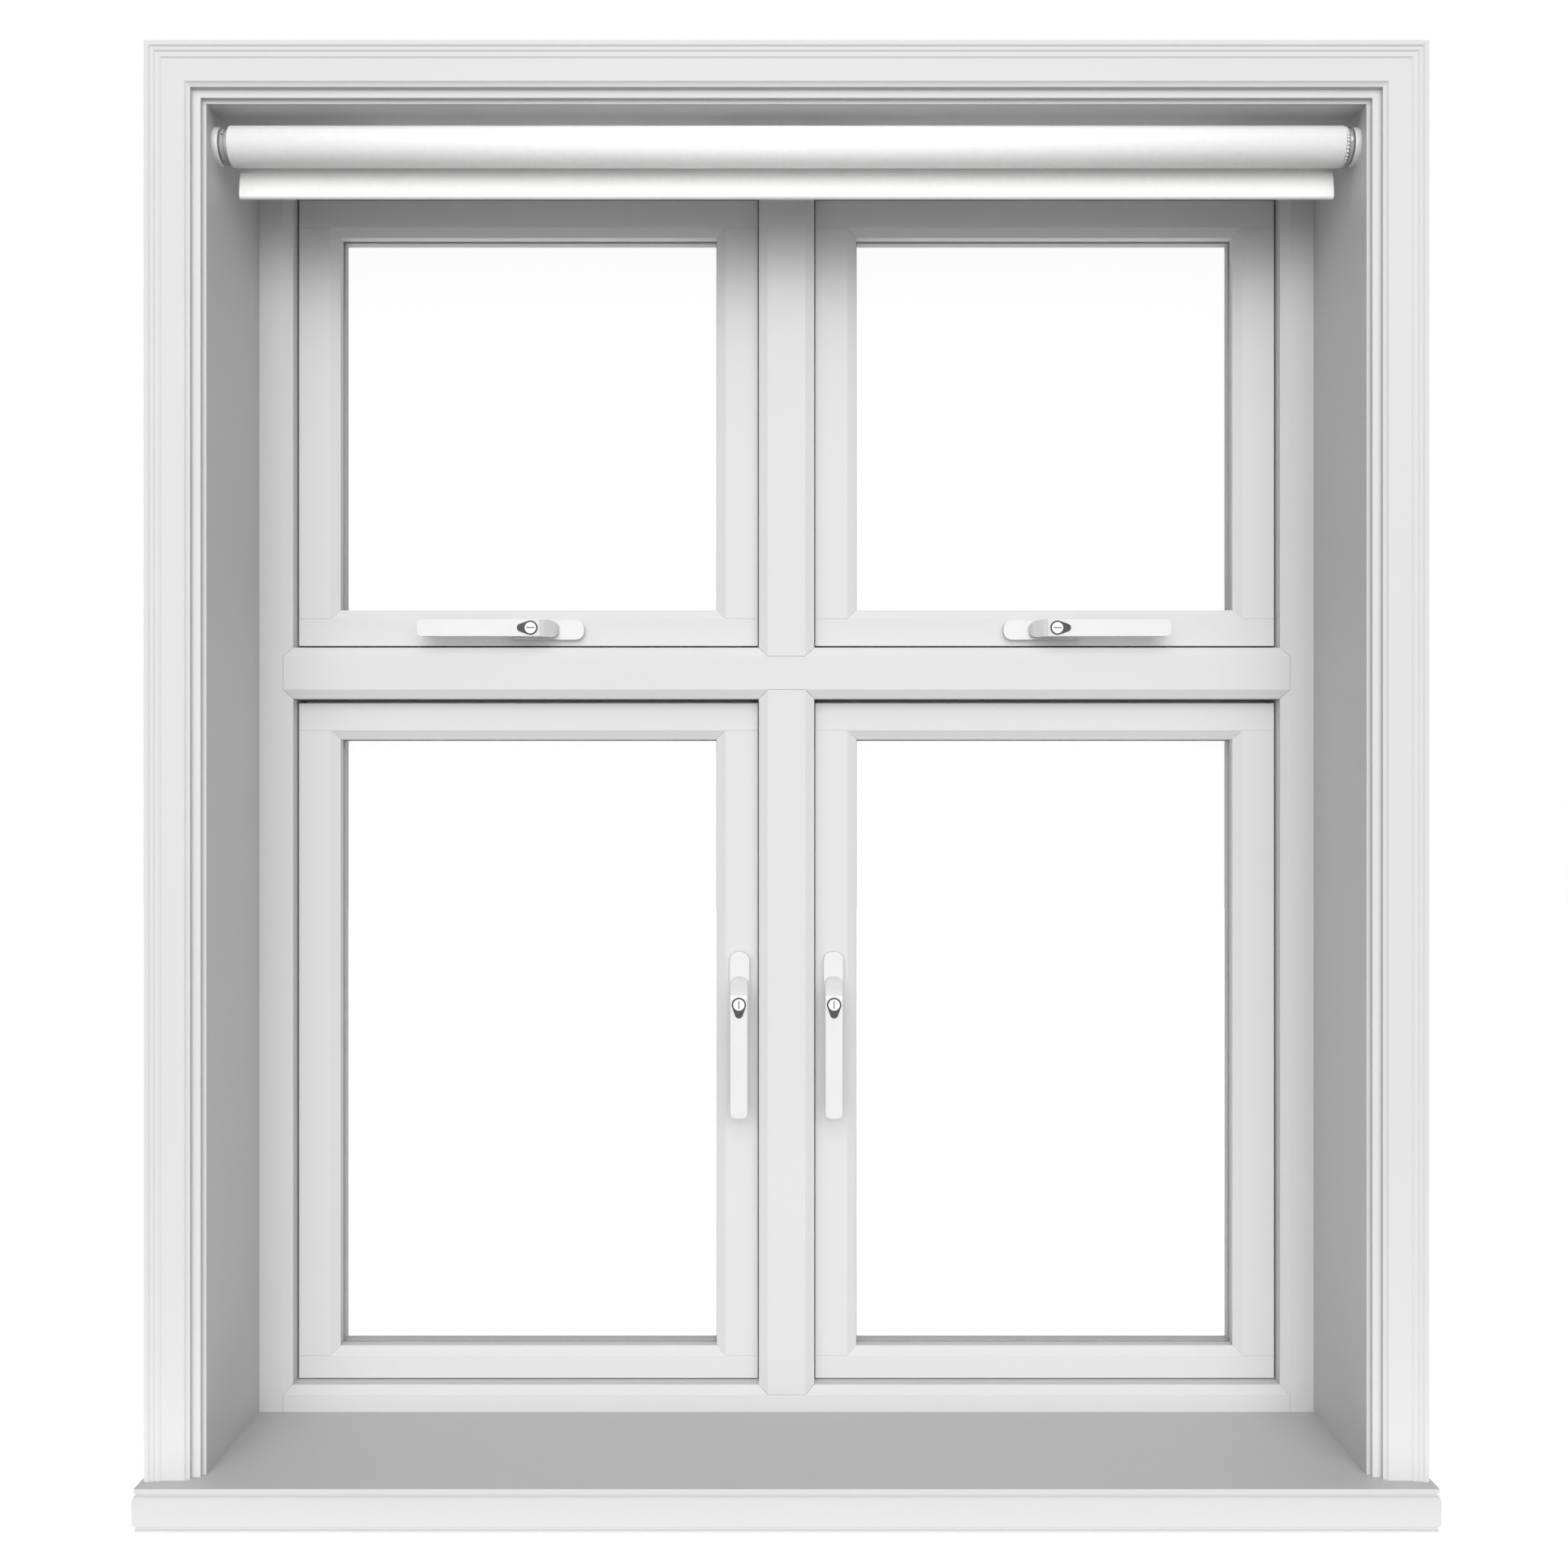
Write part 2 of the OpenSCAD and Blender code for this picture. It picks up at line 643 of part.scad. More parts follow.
module idle_plug() { color("gray") end_plug(-1); }

module chain_wheel() { color("gray") end_plug(1); }

module chain_beads() {
    color("white") on_roll() for (i = [0 : bead_count - 1]) rotate([360 / bead_count * i, 0, 0])
        translate([bead_x, 0, bead_ring]) sphere(bead_r, $fn = 16);
}

module cloth_roll() {
    color("white") on_roll() difference() {
        bar_x(roll_r, -roll_half, roll_half);
        bar_x(tube_r, -roll_half - 1, roll_half + 1);
        bar_x(hub_r, -roll_half - 1, -roll_half + 2);
        bar_x(hub_r, roll_half - 2, roll_half + 1);
    }
}

module cloth_drop() {
    color("white") box([-roll_half + 0.8, cloth_y + cloth_t + seat_gap, hem_low + hem_h],
        [roll_half - 0.8, cloth_y + 2 * cloth_t + seat_gap, axis_z]);
}

module hem_bar() {
    color("white") box([-roll_half + 0.8, cloth_y + cloth_t + seat_gap - hem_t / 2, hem_low],
        [roll_half - 0.8, cloth_y + cloth_t + seat_gap + hem_t / 2, hem_low + hem_h]);
}

jamb(-1);  // jamb_left
jamb(1);  // jamb_right
frame_head();
frame_sill();
transom();
mullion(true);  // mullion_upper
mullion(false);  // mullion_lower
side_lining(-1);  // lining_left
side_lining(1);  // lining_right
lining_head();
window_board();
side_architrave(-1);  // architrave_left
side_architrave(1);  // architrave_right
architrave_head();
weather_seals();
lock_keeps();
hinge_frame_leaves();
hinge_pins();
blind_bracket(-1);  // blind_bracket_left
blind_bracket(1);  // blind_bracket_right
blind_tube();
idle_plug();
chain_wheel();
chain_beads();
cloth_roll();
cloth_drop();
hem_bar();
for (s = SASHES) {
    sash(s[2], s[1]);
    glazing_beads(s[2], s[1]);
    glass_panes(s[2], s[1]);
    hinge_leaves(s[2], s[1]);
    handle_plate(s[2], s[1]);
    lever(s[2], s[1]);
    lock_barrel(s[2], s[1]);
    espag_bar(s[2], s[1]);
}
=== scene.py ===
"""Casement window set: dresses the frame and adds the blind's cloth, glass spacers, lock trim and screws."""

import logging
import math
from dataclasses import dataclass
from enum import Enum

import bmesh
import bpy
from mathutils import Matrix, Vector

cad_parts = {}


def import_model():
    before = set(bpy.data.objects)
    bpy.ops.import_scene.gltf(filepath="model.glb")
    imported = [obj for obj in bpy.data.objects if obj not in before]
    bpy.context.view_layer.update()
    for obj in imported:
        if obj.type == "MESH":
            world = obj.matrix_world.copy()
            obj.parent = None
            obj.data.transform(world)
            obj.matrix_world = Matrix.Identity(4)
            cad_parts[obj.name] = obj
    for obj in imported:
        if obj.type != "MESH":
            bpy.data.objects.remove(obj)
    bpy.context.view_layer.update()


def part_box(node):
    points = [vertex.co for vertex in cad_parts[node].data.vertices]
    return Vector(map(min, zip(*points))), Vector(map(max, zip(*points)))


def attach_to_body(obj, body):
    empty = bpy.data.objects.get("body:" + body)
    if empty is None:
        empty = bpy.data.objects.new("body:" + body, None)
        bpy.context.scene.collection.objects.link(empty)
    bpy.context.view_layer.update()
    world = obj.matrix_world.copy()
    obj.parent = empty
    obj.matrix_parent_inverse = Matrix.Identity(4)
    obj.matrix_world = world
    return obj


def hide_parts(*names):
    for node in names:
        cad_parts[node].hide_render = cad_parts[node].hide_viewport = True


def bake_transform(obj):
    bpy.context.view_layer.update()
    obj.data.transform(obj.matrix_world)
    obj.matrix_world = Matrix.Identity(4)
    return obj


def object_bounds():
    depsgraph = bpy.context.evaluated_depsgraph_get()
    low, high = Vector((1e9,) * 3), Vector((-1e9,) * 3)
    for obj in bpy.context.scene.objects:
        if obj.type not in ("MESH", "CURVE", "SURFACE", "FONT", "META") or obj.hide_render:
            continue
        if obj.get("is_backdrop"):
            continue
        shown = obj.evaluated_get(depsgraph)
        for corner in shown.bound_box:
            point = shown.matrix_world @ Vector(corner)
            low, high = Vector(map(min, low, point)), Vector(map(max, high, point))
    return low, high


LOG = logging.getLogger("casement_window")
MM = 0.001
NOISE_LOW, NOISE_HIGH = 0.3, 0.7
WAVE_LENGTH = 0.314  # length of one wave of Blender's wave texture at scale 1
SHARP_ANGLE = math.radians(35)
BEVEL_ANGLE = math.radians(25)
WELD_DISTANCE = 0.01 * MM
Point = tuple[float, float, float]
Outline = list[tuple[float, float]]


class SashPlace(Enum):
    """The four sashes, by the ending of their names in the frame."""

    UPPER_LEFT = "upper_left"
    UPPER_RIGHT = "upper_right"
    LOWER_LEFT = "lower_left"
    LOWER_RIGHT = "lower_right"

    @property
    def upper(self) -> bool:
        """Whether this is one of the top-hung sashes."""
        return self.value.startswith("upper")

    @property
    def side(self) -> int:
        """-1 on the left of the mullion and 1 on its right."""
        return -1 if self.value.endswith("left") else 1


# ---- Finishes ----


class NodeTree:
    """A short way to build a material's node tree."""

    def __init__(self, name: str) -> None:
        """Starts an empty material.

        Args:
            name: Name of the material.
        """
        self.material = bpy.data.materials.new(name)
        self.material.use_nodes = True
        self.tree = self.material.node_tree
        self.shader = self.tree.nodes["Principled BSDF"]

    def add(self, kind: str, **values: object) -> bpy.types.Node:
        """Adds a node and sets its unlinked inputs.

        Args:
            kind: Blender's type name of the node.
            values: Input values, by input name with spaces written as underscores.

        Returns:
            The new node.
        """
        node = self.tree.nodes.new(kind)
        for key, value in values.items():
            node.inputs[key.replace("_", " ")].default_value = value
        return node

    def calculate(self, operation: str, *terms: bpy.types.NodeSocket | float) -> bpy.types.NodeSocket:
        """One step of arithmetic.

        Args:
            operation: Blender's name of the operation.
            terms: Its terms, each a socket or a number.

        Returns:
            The result.
        """
        node = self.tree.nodes.new("ShaderNodeMath")
        node.operation = operation
        for slot, term in zip(node.inputs, terms):
            if isinstance(term, bpy.types.NodeSocket):
                self.link(term, slot)
            else:
                slot.default_value = term
        return node.outputs["Value"]

    def link(self, source: bpy.types.NodeSocket, target: bpy.types.NodeSocket) -> None:
        """Links two sockets."""
        self.tree.links.new(source, target)

    def set(self, **values: object) -> None:
        """Sets constants on the shader's own sockets, with spaces written as underscores."""
        for key, value in values.items():
            self.shader.inputs[key.replace("_", " ")].default_value = value

    def coordinates(self, scale: Point = (1, 1, 1)) -> bpy.types.NodeSocket:
        """Object coordinates, stretched.

        Args:
            scale: Scale along each axis.

        Returns:
            The mapped vector.
        """
        source = self.add("ShaderNodeTexCoord")
        mapping = self.add("ShaderNodeMapping", Scale=scale)
        self.link(source.outputs["Object"], mapping.inputs["Vector"])
        return mapping.outputs["Vector"]

    def noise(self, scale: float, detail: float = 3, stretch: Point = (1, 1, 1)) -> bpy.types.NodeSocket:
        """Noise in object space.

        Args:
            scale: Features for each metre.
            detail: Octaves.
            stretch: Scale along each axis.

        Returns:
            The noise's value.
        """
        node = self.add("ShaderNodeTexNoise", Scale=scale, Detail=detail)
        self.link(self.coordinates(stretch), node.inputs["Vector"])
        return node.outputs["Fac"]

    def spread(self, value: bpy.types.NodeSocket, low: float, high: float) -> bpy.types.NodeSocket:
        """Maps a noise value to another range.

        Args:
            value: The value to map.
            low: Result at the noise's low end.
            high: Result at the noise's high end.

        Returns:
            The mapped value.
        """
        node = self.tree.nodes.new("ShaderNodeMapRange")
        ends = (("From Min", NOISE_LOW), ("From Max", NOISE_HIGH), ("To Min", low), ("To Max", high))
        for key, number in ends:
            node.inputs[key].default_value = number
        self.link(value, node.inputs["Value"])
        return node.outputs["Result"]

    def tint(self, value: bpy.types.NodeSocket, dark: Point, light: Point) -> None:
        """Colours the surface between two tones.

        Args:
            value: A noise value, which says where between the tones.
            dark: Colour at the low end.
            light: Colour at the high end.
        """
        ramp = self.tree.nodes.new("ShaderNodeValToRGB")
        for element, place, tone in zip(ramp.color_ramp.elements, (NOISE_LOW, NOISE_HIGH), (dark, light)):
            element.position = place
            element.color = (*tone, 1)
        self.link(value, ramp.inputs["Fac"])
        self.link(ramp.outputs["Color"], self.shader.inputs["Base Color"])

    def bump(self, height: bpy.types.NodeSocket, depth: float, strength: float = 1) -> None:
        """Raises the surface by a height map.

        Args:
            height: The height.
            depth: Distance in metres between the lowest and the highest.
            strength: Strength of the bump.
        """
        node = self.add("ShaderNodeBump", Strength=strength, Distance=depth)
        self.link(height, node.inputs["Height"])
        self.link(node.outputs["Normal"], self.shader.inputs["Normal"])


def darker(color: Point, share: float) -> Point:
    """The colour with each part multiplied by share."""
    return (color[0] * share, color[1] * share, color[2] * share)


@dataclass(frozen=True)
class Paint:
    """Sprayed satin paint on timber, with a faint grain under it and a faint orange peel."""

    name: str
    color: Point = (0.61, 0.61, 0.61)
    roughness: float = 0.5
    grain_axis: int = 2
    grain_scale: float = 420
    grain_stretch: float = 0.06
    peel_scale: float = 900
    peel_share: float = 0.35
    duller: float = 0.05
    shinier: float = 0.04
    cloud_scale: float = 3.5
    cloud_shade: float = 0.985
    depth: float = 0.02 * MM
    strength: float = 0.25
    specular: float = 0.16

    def material(self) -> bpy.types.Material:
        """Builds the paint.

        Returns:
            The material.
        """
        tree = NodeTree(self.name)
        stretch = tuple(self.grain_stretch if axis == self.grain_axis else 1.0 for axis in range(3))
        grain = tree.noise(self.grain_scale, 4, stretch)
        peel = tree.noise(self.peel_scale, 2)
        tree.tint(tree.noise(self.cloud_scale, 3), darker(self.color, self.cloud_shade), self.color)
        sheen = tree.spread(peel, self.roughness - self.shinier, self.roughness + self.duller)
        tree.link(sheen, tree.shader.inputs["Roughness"])
        tree.bump(tree.calculate("MULTIPLY_ADD", peel, self.peel_share, grain), self.depth, self.strength)
        tree.set(Specular_IOR_Level=self.specular)
        return tree.material


@dataclass(frozen=True)
class Moulding:
    """Moulded or powder-coated white, or another plain colour, with a fine skin texture."""

    name: str
    color: Point
    roughness: float = 0.35
    metallic: float = 0.0
    texture: float = 1400
    duller: float = 0.05
    shinier: float = 0.03
    cloud_scale: float = 40
    cloud_shade: float = 0.97
    depth: float = 0.02 * MM
    strength: float = 0.4

    def material(self) -> bpy.types.Material:
        """Builds the finish.

        Returns:
            The material.
        """
        tree = NodeTree(self.name)
        skin = tree.noise(self.texture, 2)
        tree.tint(tree.noise(self.cloud_scale, 3), darker(self.color, self.cloud_shade), self.color)
        sheen = tree.spread(skin, self.roughness - self.shinier, self.roughness + self.duller)
        tree.link(sheen, tree.shader.inputs["Roughness"])
        tree.bump(skin, self.depth, self.strength)
        tree.set(Metallic=self.metallic)
        return tree.material


@dataclass(frozen=True)
class Glass:
    """Clear float glass that lets the studio's light straight through, with the faintest green cast."""

    name: str
    clear: Point = (0.985, 0.995, 0.99)
    cloud_shade: float = 0.995
    opacity: float = 0.015

    def material(self) -> bpy.types.Material:
        """Builds the glass as a glossy skin that is nearly all see-through.

        Returns:
            The material.
        """
        tree = NodeTree(self.name)
        tree.tint(tree.noise(2, 2), darker(self.clear, self.cloud_shade), self.clear)
        tree.set(Roughness=0.01, Alpha=self.opacity, IOR=1.5, Specular_IOR_Level=0.3)
        return tree.material


@dataclass(frozen=True)
class BlindCloth:
    """One side of the roller blind's cloth: warm white plain weave, or the smooth coating on its back."""

    name: str
    color: Point = (0.88, 0.88, 0.865)
    thread: float = 0.9 * MM
    relief: float = 0.08 * MM
    unevenness: float = 0.6
    cloud_scale: float = 190
    cloud_shade: float = 0.965
    strength: float = 0.5

    def material(self) -> bpy.types.Material:
        """Builds the cloth.

        Returns:
            The material.
        """
        tree = NodeTree(self.name)
        waves = []
        for axis in ("X", "Z"):
            wave = tree.tree.nodes.new("ShaderNodeTexWave")
            wave.bands_direction = axis
            wave.inputs["Scale"].default_value = WAVE_LENGTH / self.thread
            wave.inputs["Distortion"].default_value = self.unevenness
            tree.link(tree.coordinates(), wave.inputs["Vector"])
            waves.append(wave.outputs["Fac"])
        tree.tint(tree.noise(self.cloud_scale, 4), darker(self.color, self.cloud_shade), self.color)
        tree.bump(tree.calculate("MAXIMUM", *waves), self.relief, self.strength)
        tree.set(Roughness=0.8, Specular_IOR_Level=0.12)
        return tree.material


@dataclass(frozen=True)
class Finishes:
    """Every finish of the window, built once."""

    frame: Paint = Paint("frame_paint", grain_axis=2)
    rails: Paint = Paint("rail_paint", grain_axis=0)
    # The same white paint as the frame, made darker to paint the shade in the reveal's linings.
    lining: Paint = Paint("lining_paint", (0.54, 0.54, 0.54), roughness=0.36)
    trim: Paint = Paint("trim_paint", roughness=0.4)
    # The same white paint, made darker to paint the shade on the window board.
    board: Paint = Paint("board_paint", (0.52, 0.52, 0.52), roughness=0.38, grain_axis=0)
    coat: Moulding = Moulding("handle_coat", (0.63, 0.63, 0.63), roughness=0.3)
    barrel: Moulding = Moulding("barrel_enamel", (0.82, 0.82, 0.82), roughness=0.25)
    # Dark plastic of the lock surround; the same dark also paints the shade of the hole in the idle hub.
    surround_and_hole_shade: Moulding = Moulding("lock_surround", (0.045, 0.045, 0.047), roughness=0.6)
    steel: Moulding = Moulding(
        "zinc_steel", (0.6, 0.6, 0.61), roughness=0.33, metallic=1.0, texture=600)
    # Black rubber for the seals; the same black paints the shade inside the key slots.
    rubber_and_keyway_shade: Moulding = Moulding("seal_rubber", (0.03, 0.03, 0.03), roughness=0.7)
    spacer: Moulding = Moulding(
        "spacer_bar", (0.43, 0.43, 0.435), roughness=0.5, metallic=0.2)
    plastic: Moulding = Moulding("blind_white", (0.65, 0.65, 0.65), roughness=0.28)
    # Grey that paints the shade on the blind's white hubs, which sit in the roll's shadow.
    painted_hub_shade: Moulding = Moulding("blind_grey", (0.31, 0.31, 0.32), roughness=0.45)
    tube: Moulding = Moulding("tube_metal", (0.7, 0.7, 0.71), roughness=0.3, metallic=1.0)
    glass: Glass = Glass("pane_glass")
    cloth: BlindCloth = BlindCloth("blind_cloth")
    coating: BlindCloth = BlindCloth("blind_coating", (0.935, 0.935, 0.93), relief=0.02 * MM)


# ---- Meshes ----


def mesh_object(name: str, shape: bmesh.types.BMesh, material: bpy.types.Material,
                smooth: bool = True) -> bpy.types.Object:
    """Makes an object from a bmesh, which is freed.

    Args:
        name: Name of the object.
        shape: Its mesh, in metres.
        material: Its material.
        smooth: Whether its faces are shaded smooth, with sharp edges kept.

    Returns:
        The new object.
    """
    bmesh.ops.recalc_face_normals(shape, faces=shape.faces)
    mesh = bpy.data.meshes.new(name)
    shape.to_mesh(mesh)
    shape.free()
    mesh.materials.append(material)
    obj = bpy.data.objects.new(name, mesh)
    bpy.context.scene.collection.objects.link(obj)
    if smooth:
        mesh.shade_smooth()
        mesh.set_sharp_from_angle(angle=SHARP_ANGLE)
    LOG.info("made %s", name)
    return obj


def attach(piece: bpy.types.Object, body: str) -> None:
    """Lets a new piece ride on a body."""
    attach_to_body(piece, body)


def add_prism(shape: bmesh.types.BMesh, outline: Outline, matrix: Matrix, depth: float) -> None:
    """Adds a solid prism.

    Args:
        shape: Mesh to add to.
        outline: Points in the prism's own X and Y.
        matrix: Placement of the outline's plane.
        depth: Depth along the plane's own Z.
    """
    low = [shape.verts.new(matrix @ Vector((x, y, 0))) for x, y in outline]
    high = [shape.verts.new(matrix @ Vector((x, y, depth))) for x, y in outline]
    shape.faces.new(low)
    shape.faces.new(reversed(high))
    count = len(outline)
    for i in range(count):
        j = (i + 1) % count
        shape.faces.new((low[j], low[i], high[i], high[j]))


def add_box(shape: bmesh.types.BMesh, low: Point, high: Point) -> None:
    """Adds a box between its lowest and highest corners."""
    outline = [(low[0], low[1]), (high[0], low[1]), (high[0], high[1]), (low[0], high[1])]
    add_prism(shape, outline, Matrix.Translation((0, 0, low[2])), high[2] - low[2])


def soften(obj: bpy.types.Object, width: float, segments: int = 2) -> None:
    """Rounds an object's edges by modifiers, which leave its mesh as it is.

    Args:
        obj: The object.
        width: Width of the rounding, in metres.
        segments: Number of strips in it.
    """
    weld = obj.modifiers.new("weld", "WELD")
    weld.merge_threshold = WELD_DISTANCE
    bevel = obj.modifiers.new("bevel", "BEVEL")
    bevel.width = width
    bevel.segments = segments
    bevel.limit_method = "ANGLE"
    bevel.angle_limit = BEVEL_ANGLE
    bevel.harden_normals = True


def dress(name: str, material: bpy.types.Material, edge: float = 0.0) -> None:
    """Gives a node of the frame its material and its rounded edges.

    Args:
        name: Name of the node.
        material: Its material.
        edge: Width of the rounding, or 0 where the edges stay sharp.
    """
    obj = bpy.data.objects[name]
    obj.data.materials.clear()
    obj.data.materials.append(material)
    if edge:
        soften(obj, edge)
    LOG.info("dressed %s", name)


def upright(x: float, y: float, z: float) -> Matrix:
    """A plane at a point whose own X and Y are the row's X and Z and whose own Z points to the room."""
    return Matrix(((1, 0, 0, x), (0, 0, -1, y), (0, 1, 0, z), (0, 0, 0, 1)))


def ring(radius: float, count: int, start: float = 0.0, sweep: float = 2 * math.pi) -> Outline:
    """Points along a circle, without the last one."""
    angles = [start + sweep * i / count for i in range(count)]
    return [(radius * math.cos(angle), radius * math.sin(angle)) for angle in angles]


def add_washer(shape: bmesh.types.BMesh, outer: Outline, bore: float, plane: Matrix, depth: float) -> None:
    """Adds a flat plate with a round bore.

    Args:
        shape: Mesh to add to.
        outer: The plate's outline, around the bore's middle.
        bore: Radius of the bore.
        plane: Placement of the outline.
        depth: Thickness towards the plane's own Z.
    """
    inner = [(bore * x / math.hypot(x, y), bore * y / math.hypot(x, y)) for x, y in outer]
    loops = [[shape.verts.new(plane @ Vector((x, y, level))) for x, y in line]
             for line, level in ((outer, 0), (outer, depth), (inner, depth), (inner, 0))]
    for near, far in zip(loops, loops[1:] + loops[:1]):
        for i in range(len(outer)):
            j = (i + 1) % len(outer)
            shape.faces.new((near[i], near[j], far[j], far[i]))


def add_strip(shape: bmesh.types.BMesh, rows: list[list[bmesh.types.BMVert]], closed: bool = False) -> None:
    """Joins rows of points by faces.

    Args:
        shape: Mesh to add to.
        rows: The rows, each with the same number of points.
        closed: Whether each row's last point is joined to its first.
    """
    count = len(rows[0])
    for near, far in zip(rows, rows[1:]):
        for i in range(count if closed else count - 1):
            j = (i + 1) % count
            shape.faces.new((near[i], near[j], far[j], far[i]))


# ---- Sub-assemblies ----


@dataclass
class Studio:
    """Camera, light and floor."""

    lens: float = 38.2
    sensor: float = 36.0
    distance: float = 1.736
    eye_height: float = 0.6982
    shift_x: float = -0.0016
    sky_low: float = 0.16
    sky_high: float = 0.5
    glow: float = 5.3
    glow_power: float = 9.0
    glow_from: Point = (0.0, -0.96, 0.28)
    back_glow: float = 0.43
    back_power: float = 3.0
    back_from: Point = (0.0, 0.94, 0.34)
    top_light: float = 3.0
    top_size: float = 1.6
    top_place: Point = (-0.2, -1.9, 2.6)
    top_tilt: float = math.radians(42)
    floor_drop: float = 0.03
    floor_t: float = 1 * MM
    floor_front: float = 0.3
    floor_back: float = 8.0
    floor_half: float = 6.0
    floor_glow: float = 0.52

    def build(self) -> None:
        """Makes the camera, the white surroundings, the light above and the floor."""
        scene = bpy.context.scene
        scene.view_settings.view_transform = "Standard"
        scene.world = self.surroundings()
        scene.camera = self.camera()
        scene.collection.objects.link(scene.camera)
        scene.collection.objects.link(self.top_panel())
        self.floor()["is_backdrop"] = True

    def camera(self) -> bpy.types.Object:
        """The camera, level and straight in front of the window.

        Returns:
            The camera.
        """
        camera_data = bpy.data.cameras.new("camera")
        camera_data.lens = self.lens
        camera_data.sensor_width = self.sensor
        camera_data.shift_x = self.shift_x
        camera = bpy.data.objects.new("camera", camera_data)
        camera.location = (0, -self.distance, self.eye_height)
        camera.rotation_euler = (math.pi / 2, 0, 0)
        return camera

    def floor(self) -> bpy.types.Object:
        """A pale floor a little below the window, which reaches far back.

        Returns:
            The floor.
        """
        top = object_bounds()[0][2] - self.floor_drop
        shape = bmesh.new()
        add_box(shape, (-self.floor_half, -self.floor_front, top - self.floor_t),
                (self.floor_half, self.floor_back, top))
        return mesh_object("floor", shape, self.floor_material(), smooth=False)

    def surroundings(self) -> bpy.types.World:
        """White surroundings that light the window more gently than they look.

        Returns:
            The world.
        """
        world = bpy.data.worlds.new("studio")
        world.use_nodes = True
        tree = world.node_tree
        seen = tree.nodes["Background"]
        seen.inputs["Color"].default_value = (1, 1, 1, 1)
        light = tree.nodes.new("ShaderNodeBackground")
        light.inputs["Color"].default_value = (1, 1, 1, 1)
        direction = tree.nodes.new("ShaderNodeTexCoord")
        parts = tree.nodes.new("ShaderNodeSeparateXYZ")
        tree.links.new(direction.outputs["Generated"], parts.inputs["Vector"])
        strength = self.graded(tree, parts.outputs["Z"], (-1, 1, self.sky_low, self.sky_high))
        for source, power, gain in ((self.glow_from, self.glow_power, self.glow),
                                    (self.back_from, self.back_power, self.back_glow)):
            toward = tree.nodes.new("ShaderNodeVectorMath")
            toward.operation = "DOT_PRODUCT"
            toward.inputs[1].default_value = source
            tree.links.new(direction.outputs["Generated"], toward.inputs[0])
            facing = self.graded(tree, toward.outputs["Value"], (0, 1, 0, 1))
            lobe = self.calculated(tree, "POWER", facing, power)
            strength = self.calculated(tree, "MULTIPLY_ADD", lobe, gain, strength)
        tree.links.new(strength, light.inputs["Strength"])
        path = tree.nodes.new("ShaderNodeLightPath")
        mix = tree.nodes.new("ShaderNodeMixShader")
        tree.links.new(path.outputs["Is Camera Ray"], mix.inputs["Fac"])
        tree.links.new(light.outputs["Background"], mix.inputs[1])
        tree.links.new(seen.outputs["Background"], mix.inputs[2])
        tree.links.new(mix.outputs["Shader"], tree.nodes["World Output"].inputs["Surface"])
        return world

    @staticmethod
    def graded(tree: bpy.types.NodeTree, value: bpy.types.NodeSocket,
               ends: tuple[float, float, float, float]) -> bpy.types.NodeSocket:
        """Maps a value between two ends to two others.

        Args:
            tree: The node tree.
            value: The value.
            ends: From its two ends to the result's two ends.

        Returns:
            The mapped value.
        """
        node = tree.nodes.new("ShaderNodeMapRange")
        for key, number in zip(("From Min", "From Max", "To Min", "To Max"), ends):
            node.inputs[key].default_value = number
        tree.links.new(value, node.inputs["Value"])
        return node.outputs["Result"]

    @staticmethod
    def calculated(tree: bpy.types.NodeTree, operation: str, value: bpy.types.NodeSocket, number: float,
                   added: bpy.types.NodeSocket | None = None) -> bpy.types.NodeSocket:
        """One step of arithmetic on a value.

        Args:
            tree: The node tree.
            operation: Blender's name of the operation.
            value: The value.
            number: The second operand.
            added: The third operand, where there is one.

        Returns:
            The result.
        """
        node = tree.nodes.new("ShaderNodeMath")
        node.operation = operation
        node.inputs[1].default_value = number
        tree.links.new(value, node.inputs[0])
        if added:
            tree.links.new(added, node.inputs[2])
        return node.outputs["Value"]

    def top_panel(self) -> bpy.types.Object:
        """The square light panel above and in front of the window.

        Returns:
            The light.
        """
        data = bpy.data.lights.new("top_panel", "AREA")
        data.energy = self.top_light
        data.size = self.top_size
        light = bpy.data.objects.new("top_panel", data)
        light.location = self.top_place
        light.rotation_euler = (self.top_tilt, 0, 0)
        return light

    def floor_material(self) -> bpy.types.Material:
        """A pale matt finish that stays as light as the surroundings.

        Returns:
            The material.
        """
        tree = NodeTree("floor")
        tree.tint(tree.noise(1.5), (0.93, 0.93, 0.93), (0.95, 0.95, 0.95))
        tree.set(Roughness=0.9, Emission_Color=(1, 1, 1, 1), Emission_Strength=self.floor_glow)
        return tree.material


@dataclass
class TimberWork:
    """Frame, linings, architrave, window board and seals."""

    edge: float = 0.7 * MM
    lining_edge: float = 0.3 * MM
    board_edge: float = 1.1 * MM
    uprights: tuple[str, ...] = ("jamb_left", "jamb_right", "mullion_upper", "mullion_lower")
    level: tuple[str, ...] = ("frame_head", "frame_sill", "transom")
    linings: tuple[str, ...] = ("lining_left", "lining_right", "lining_head")
    trims: tuple[str, ...] = ("architrave_left", "architrave_right", "architrave_head")

    def build(self, looks: Finishes) -> None:
        """Dresses each node of the fixed timber work.

        Args:
            looks: The finishes.
        """
        groups = (
            (self.uprights, looks.frame.material(), self.edge),
            (self.level, looks.rails.material(), self.edge),
            (self.linings, looks.lining.material(), self.lining_edge),
            (self.trims, looks.trim.material(), 0.0),
            (("window_board",), looks.board.material(), self.board_edge),
        )
        for names, material, edge in groups:
            for name in names:
                dress(name, material, edge)
        dress("weather_seals", looks.rubber_and_keyway_shade.material())


